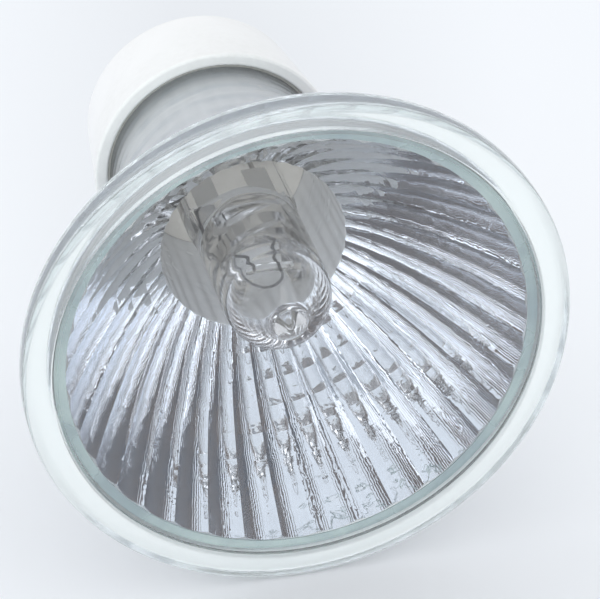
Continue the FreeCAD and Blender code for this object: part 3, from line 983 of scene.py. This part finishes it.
@dataclass
class SealRing:
    """The thin ring of clear sealant between the rim's ledge and the front glass."""

    inner_r: float = 21.1 * MM
    outer_r: float = 22.0 * MM
    front_depth: float = 1.67
    back_depth: float = 1.78
    steps: int = 192

    def build(self) -> None:
        """Turns the ring, a hair clear of the glass on both of its sides."""
        front, back = depth(self.front_depth), depth(self.back_depth)
        profile = Outline(self.inner_r, front).to(self.outer_r, front)
        profile.to(self.outer_r, back).to(self.inner_r, back).to(self.inner_r, front)
        piece = Bench.lathe("seal_ring", profile, self.steps)
        piece.data.materials.append(material_of(CLEAR_SEALANT))
        Bench.smooth(piece)
        mount(piece, "sealant", "cover_seal")


@dataclass
class Capsule:
    """The quartz capsule: a domed tube with an exhaust tip and a pinched end."""

    tube_r: float = 5.1 * MM
    wall: float = 0.9 * MM
    nose_depth: float = 6.0
    nipple_r: float = 0.6 * MM
    nipple_depth: float = 5.4
    nipple_tip_r: float = 0.3 * MM
    nipple_tip_depth: float = 5.6
    tip_r: float = 1.5 * MM
    tip_length: float = 1.6 * MM
    tip_fillet: float = 0.8 * MM
    back_depth: float = 22.0
    throat_depth: float = 23.8
    throat_r: float = 1.0 * MM
    pinch_depth: float = 25.5
    pinch_end_depth: float = 38.5
    pinch_width: float = 10.6 * MM
    pinch_thick: float = 3.4 * MM
    pinch_round: float = 0.5 * MM
    pinch_steps: int = 4
    collar_cuts: int = 5
    collar_smoothness: float = 0.8
    tip_steps: int = 10
    fillet_steps: int = 6
    dome_steps: int = 20
    steps: int = 96
    sharp_from: float = 50.0

    def build(self) -> None:
        """Models the tube, its pinch and its void, and joins them."""
        tube = self.blow_tube()
        pinch = self.press_pinch()
        Bench.join(tube, pinch)
        Bench.edit(tube)
        Bench.select_edges(tube, lambda edge: edge.is_boundary)
        bpy.ops.mesh.bridge_edge_loops(number_cuts=self.collar_cuts, interpolation="SURFACE",
                                       smoothness=self.collar_smoothness)
        Bench.weld()
        Bench.clear()
        Bench.join(tube, self.hollow())
        tube.data.materials.append(material_of(QUARTZ))
        tube.name = tube.data.name = "quartz_capsule"
        Bench.smooth(tube, self.sharp_from)
        mount(tube, "quartz", "capsule")

    def blow_tube(self) -> bpy.types.Object:
        """Turns the outside from the exhaust tip to the back of the tube.

        Returns:
            The tube, open at its back.
        """
        dome_y = depth(self.nose_depth) + self.tube_r
        tip_y = depth(self.nose_depth) - self.tip_length
        blend_r = self.tip_r + self.tip_fillet
        reach = self.tube_r + self.tip_fillet
        blend = (blend_r, dome_y - math.sqrt(reach ** 2 - blend_r ** 2))
        touch = self.tube_r / reach
        dome_start = (blend[0] * touch, dome_y + (blend[1] - dome_y) * touch)
        profile = Outline(0.0, tip_y)
        profile.arc((0.0, tip_y + self.tip_r), (self.tip_r, tip_y + self.tip_r), self.tip_steps)
        profile.to(self.tip_r, blend[1]).arc(blend, dome_start, self.fillet_steps)
        profile.arc((0.0, dome_y), (self.tube_r, dome_y), self.dome_steps)
        profile.to(self.tube_r, depth(self.back_depth))
        return Bench.lathe("capsule_tube", profile, self.steps)

    def press_pinch(self) -> bpy.types.Object:
        """Models the flat pinch as a rounded block.

        Returns:
            The block, open towards the tube.
        """
        front, end = depth(self.pinch_depth), depth(self.pinch_end_depth)
        Bench.clear()
        bpy.ops.mesh.primitive_cube_add(size=1.0, location=(0.0, (front + end) / 2, 0.0),
                                        scale=(self.pinch_width, end - front, self.pinch_thick))
        piece = Bench.named("capsule_pinch")
        Bench.settle(piece)
        Bench.edit(piece)
        Bench.select_faces(piece, lambda face: face.calc_center_median().y < front + WELD)
        bpy.ops.mesh.delete(type="ONLY_FACE")
        Bench.select_edges(piece, lambda edge: not edge.is_boundary)
        bpy.ops.mesh.bevel(offset=self.pinch_round, segments=self.pinch_steps)
        Bench.weld()
        Bench.clear()
        return piece

    def hollow(self) -> bpy.types.Object:
        """Turns the wall of the void inside the tube, with the exhaust's nipple in its front.

        Returns:
            The wall, whose faces point into the void.
        """
        dome_y = depth(self.nose_depth) + self.tube_r
        bore_r = self.tube_r - self.wall
        foot_y = dome_y - math.sqrt(bore_r ** 2 - self.nipple_r ** 2)
        profile = Outline(0.0, depth(self.nipple_depth))
        profile.to(self.nipple_tip_r, depth(self.nipple_tip_depth)).to(self.nipple_r, foot_y)
        profile.arc((0.0, dome_y), (bore_r, dome_y), self.dome_steps)
        profile.to(bore_r, depth(self.back_depth) - self.wall)
        profile.to(self.throat_r, depth(self.throat_depth)).to(0.0, depth(self.throat_depth))
        return Bench.lathe("capsule_void", profile, self.steps, inside=True)


@dataclass
class FilamentMount:
    """The glass bridge on the leads and the coil that hangs between them."""

    bridge_depth: float = 16.2
    bridge_r: float = 0.5 * MM
    bridge_length: float = 5.2 * MM
    bridge_offset: float = 0.5 * MM
    lead_x: float = 2.75 * MM
    right_x: float = 1.5 * MM
    foot_depth: float = 18.98
    shoulder_depth: float = 14.6
    apex_depth: float = 11.9
    end_depth: float = 15.04
    coil_r: float = 0.11 * MM
    wire_r: float = 0.035 * MM
    pitch: float = 0.12 * MM
    turn_steps: int = 10
    wire_sides: int = 5
    way_order: int = 3
    way_steps: int = 24
    coil_sharp_from: float = 80.0
    bridge_sides: int = 32
    melt_share: float = 0.7
    melt_steps: int = 5
    bridge_sharp_from: float = 60.0

    def build(self) -> None:
        """Models the bridge and the coil."""
        self.draw_bridge()
        self.wind_coil()

    def draw_bridge(self) -> None:
        """Models the bridge as a glass rod with melted round ends."""
        Bench.clear()
        bpy.ops.mesh.primitive_cylinder_add(
            vertices=self.bridge_sides, radius=self.bridge_r, depth=self.bridge_length,
            location=(self.bridge_offset, depth(self.bridge_depth), 0.0),
            rotation=(0.0, math.pi / 2, 0.0))
        piece = Bench.named("glass_bridge")
        Bench.settle(piece)
        Bench.edit(piece)
        Bench.select_edges(piece, lambda edge: abs(edge.verts[0].co.x - edge.verts[1].co.x) < WELD)
        bpy.ops.mesh.bevel(offset=self.bridge_r * self.melt_share, segments=self.melt_steps)
        Bench.weld()
        piece.data.materials.append(material_of(QUARTZ))
        Bench.smooth(piece, self.bridge_sharp_from)
        mount(piece, "quartz", "bridge")

    def route(self) -> list[Vector]:
        """Lays out the coil's way, from the left lead over the bridge to the end of the right one.

        Returns:
            The corners that the way is drawn to.
        """
        left, right = -self.lead_x, self.right_x
        right_shoulder = self.shoulder_depth + (self.apex_depth - self.shoulder_depth) / 3
        corners = [(left, self.foot_depth), (left, self.shoulder_depth),
                   ((left + right) / 2, self.apex_depth), (right, right_shoulder),
                   (right, self.end_depth)]
        return [Vector((x, depth(back), 0.0)) for x, back in corners]

    def wind_coil(self) -> None:
        """Winds a helix of the wire and leads it along its way."""
        places = self.route()
        Bench.clear()
        bpy.ops.curve.primitive_nurbs_path_add()
        way = bpy.context.active_object
        spline = way.data.splines[0]
        for point, place in zip(spline.points, places):
            point.co = (*place, 1.0)
        spline.order_u = self.way_order
        spline.use_endpoint_u = True
        way.data.resolution_u = self.way_steps
        length = spline.calc_length()
        bpy.ops.mesh.primitive_circle_add(vertices=self.wire_sides, radius=self.wire_r,
                                          location=(self.coil_r, 0.0, 0.0),
                                          rotation=(math.pi / 2, 0.0, 0.0))
        piece = Bench.named("filament_coil")
        Bench.settle(piece)
        Bench.finish_with(piece, "SCREW", axis="Z", angle=math.tau, screw_offset=self.pitch,
                          iterations=int(length / self.pitch), steps=self.turn_steps,
                          render_steps=self.turn_steps)
        Bench.finish_with(piece, "CURVE", object=way, deform_axis="POS_Z")
        Bench.pick(way)
        bpy.ops.object.delete()
        Bench.edit(piece)
        bpy.ops.mesh.fill_holes(sides=self.wire_sides)
        Bench.weld()
        piece.data.materials.append(material_of(TUNGSTEN))
        Bench.smooth(piece, self.coil_sharp_from)
        mount(piece, "tungsten", "filament")


CAD_FINISHES: dict[str, Finish] = {
    "lead_left": LEAD_WIRE,
    "lead_right": LEAD_WIRE,
    "foil_left": FOIL,
    "foil_right": FOIL,
    "outer_lead_left": TAIL_WIRE,
    "outer_lead_right": TAIL_WIRE,
    "capsule_cement": CEMENT_PAINTED_SHADE,
    "base_cement": CEMENT_PAINTED_SHADE,
    "ceramic_base": CERAMIC,
    "pin_left": PIN_PLATE,
    "pin_right": PIN_PLATE,
    "solder_left": SOLDER,
    "solder_right": SOLDER,
}


def dress_nodes() -> None:
    """Gives the CAD nodes that keep their shape their finishes."""
    for node, finish in CAD_FINISHES.items():
        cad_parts[node].material_slots[0].material = material_of(finish)
        LOG.info("%s keeps its shape and takes %s", node, finish.name)


@dataclass(frozen=True)
class Card:
    """An upright studio card that stands round the front and is seen only as a reflection.

    Angles are in degrees: the azimuth is 0 straight in front of the lamp and grows to the right.
    """

    azimuth: float
    width: float
    low: float
    high: float
    colour: Colour
    reach: float = 0.5

    def stand(self) -> None:
        """Sets the card up, facing the rim."""
        turn = math.radians(self.azimuth)
        low, high = (self.reach * math.tan(math.radians(edge)) for edge in (self.low, self.high))
        place = Vector((self.reach * math.sin(turn), FACE_Y - self.reach * math.cos(turn),
                        (low + high) / 2))
        Bench.clear()
        bpy.ops.mesh.primitive_plane_add(
            size=1.0, location=place, rotation=(math.pi / 2, 0.0, turn),
            scale=(self.reach * math.radians(self.width), high - low, 1.0))
        card = Bench.named("card")
        Bench.settle(card)
        material, graph, output = new_material("card_paint")
        glow = graph.add("Emission", Color=self.colour, Strength=1.0)
        clear = graph.add("BsdfTransparent")
        bounces = graph.add("LightPath").outputs["Glossy Depth"]
        mirrored = graph.math("GREATER_THAN", bounces, MIRRORED)
        graph.feed(output.inputs["Surface"], graph.mix_shaders(mirrored, clear, glow))
        material.cycles.emission_sampling = "NONE"
        card.data.materials.append(material)
        card.visible_camera = False
        card.visible_diffuse = False
        card.visible_shadow = False
        card.visible_volume_scatter = False


SLATE: Colour = (0.06, 0.062, 0.075, 1.0)
UMBER: Colour = (0.12, 0.092, 0.08, 1.0)
MIST: Colour = (0.40, 0.43, 0.48, 1.0)
SHEEN: Colour = (1.4, 1.4, 1.45, 1.0)
GLOW: Colour = (2.0, 2.0, 2.05, 1.0)
CARDS: tuple[Card, ...] = (
    Card(-44.6, 9.2, 7.0, 36.0, UMBER),
    Card(-35.6, 7.4, 6.0, 42.0, SLATE),
    Card(-28.0, 7.4, 2.0, 47.0, UMBER),
    Card(-20.0, 7.8, 8.0, 48.0, SLATE),
    Card(-12.0, 7.2, 8.0, 48.0, UMBER),
    Card(-4.8, 5.0, 19.0, 46.0, SLATE),
    Card(-5.0, 20.0, 49.0, 64.0, UMBER),
    Card(-1.0, 1.4, 1.0, 18.0, GLOW),
    Card(8.0, 1.4, 1.0, 19.0, GLOW),
    Card(19.5, 2.6, 9.0, 34.0, MIST),
    Card(20.0, 20.0, 50.0, 64.0, SLATE),
    Card(32.0, 12.0, 20.0, 38.0, SHEEN),
    Card(38.0, 2.4, 8.0, 19.0, UMBER),
)


@dataclass
class Studio:
    """The camera, the floor, the sky, the lamps and the cards."""

    azimuth: float = -14.15
    elevation: float = 32.7
    distance: float = 211.924 * MM
    shift_right: float = -0.388 * MM
    shift_up: float = 5.005 * MM
    lens: float = 144.0
    sensor: float = 36.0
    pale: Colour = (0.905, 0.93, 0.982, 1.0)
    sky: Colour = (0.97, 0.985, 1.0, 1.0)
    floor: Colour = (0.87, 0.89, 0.922, 1.0)
    plain_share: float = 0.5
    sky_strength: float = 0.91
    key_place: Vector = Vector((-0.55, 0.35, 0.85))
    key_size: float = 0.5
    key_power: float = 0.9
    fill_place: Vector = Vector((-0.30, -1.96, 0.44))
    fill_size: float = 0.6
    fill_power: float = 24.0
    floor_size: float = 6.0
    bounces: int = 24
    mirror_bounces: int = 8

    def build(self) -> None:
        """Sets up the studio."""
        self.set_camera()
        self.lay_floor()
        self.set_sky()
        self.hang_lamp("key", self.key_place, self.key_size, self.key_power)
        fill = self.hang_lamp("fill", self.fill_place, self.fill_size, self.fill_power)
        fill.visible_glossy = False
        fill.visible_transmission = False
        for card in CARDS:
            card.stand()
        bpy.context.scene.view_settings.view_transform = "Standard"
        bpy.context.scene.cycles.max_bounces = self.bounces
        bpy.context.scene.cycles.transmission_bounces = self.bounces
        bpy.context.scene.cycles.transparent_max_bounces = self.bounces
        bpy.context.scene.cycles.glossy_bounces = self.mirror_bounces

    def set_camera(self) -> None:
        """Places the camera at the photograph's viewing angle."""
        turn, tilt = math.radians(self.azimuth), math.radians(self.elevation)
        back = Vector((math.sin(turn) * math.cos(tilt), -math.cos(turn) * math.cos(tilt),
                       math.sin(tilt)))
        right = Vector((math.cos(turn), math.sin(turn), 0.0))
        up = back.cross(right)
        place = (Vector((0.0, FACE_Y, 0.0)) + back * self.distance + right * self.shift_right
                 + up * self.shift_up)
        data = bpy.data.cameras.new("camera")
        data.lens = self.lens
        data.sensor_width = self.sensor
        data.clip_start = MM
        camera = bpy.data.objects.new("camera", data)
        camera.matrix_world = Matrix.Translation(place) @ Matrix((right, up, back)).transposed().to_4x4()
        bpy.context.scene.collection.objects.link(camera)
        bpy.context.scene.camera = camera

    def lay_floor(self) -> None:
        """Lays a wide pale floor under the rim, whose shadows show weaker in metal and glass."""
        Bench.clear()
        bpy.ops.mesh.primitive_plane_add(size=self.floor_size, location=(0.0, 0.0, FLOOR_Z))
        floor = Bench.named("floor")
        material, graph, output = new_material("floor_paint")
        paint = graph.add("BsdfDiffuse", Color=self.floor)
        plain = graph.add("Emission", Color=self.pale, Strength=1.0)
        rays = graph.add("LightPath")
        seen = graph.math("MAXIMUM", rays.outputs["Is Glossy Ray"], rays.outputs["Is Transmission Ray"])
        share = graph.math("MULTIPLY", seen, self.plain_share)
        graph.feed(output.inputs["Surface"], graph.mix_shaders(share, paint, plain))
        material.cycles.emission_sampling = "NONE"
        floor.data.materials.append(material)

    def set_sky(self) -> None:
        """Makes the sky pale for the camera, metal and glass, and a little lower as light."""
        world = bpy.data.worlds.new("sky")
        world.use_nodes = True
        bpy.context.scene.world = world
        graph = Graph(world.node_tree)
        output = graph.add("OutputWorld")
        rays = graph.add("LightPath")
        seen = graph.math("MAXIMUM", rays.outputs["Is Camera Ray"], rays.outputs["Is Glossy Ray"])
        seen = graph.math("MAXIMUM", seen, rays.outputs["Is Transmission Ray"])
        light = graph.add("Background", Color=self.sky, Strength=self.sky_strength)
        pale = graph.add("Background", Color=self.pale, Strength=1.0)
        graph.feed(output.inputs["Surface"], graph.mix_shaders(seen, light, pale))

    @staticmethod
    def hang_lamp(name: str, place: Vector, size: float, power: float) -> bpy.types.Object:
        """Hangs a soft square lamp that shines on the object.

        Args:
            name: The lamp's name.
            place: Its place.
            size: The length of its sides.
            power: Its power, in watts.

        Returns:
            The lamp.
        """
        data = bpy.data.lights.new(name, "AREA")
        data.size = size
        data.energy = power
        lamp = bpy.data.objects.new(name, data)
        lamp.location = place
        lamp.rotation_mode = "QUATERNION"
        lamp.rotation_quaternion = (-place).to_track_quat("-Z", "Y")
        bpy.context.scene.collection.objects.link(lamp)
        return lamp


def main() -> None:
    """Builds the lamp and the studio."""
    logging.basicConfig(level=logging.INFO)
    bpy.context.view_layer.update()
    dress_nodes()
    reflector = Reflector()
    reflector.build()
    FrontGlass().build(reflector.recess_r)
    SealRing().build()
    Capsule().build()
    FilamentMount().build()
    Studio().build()
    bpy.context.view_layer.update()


if __name__ == "__main__":
    main()
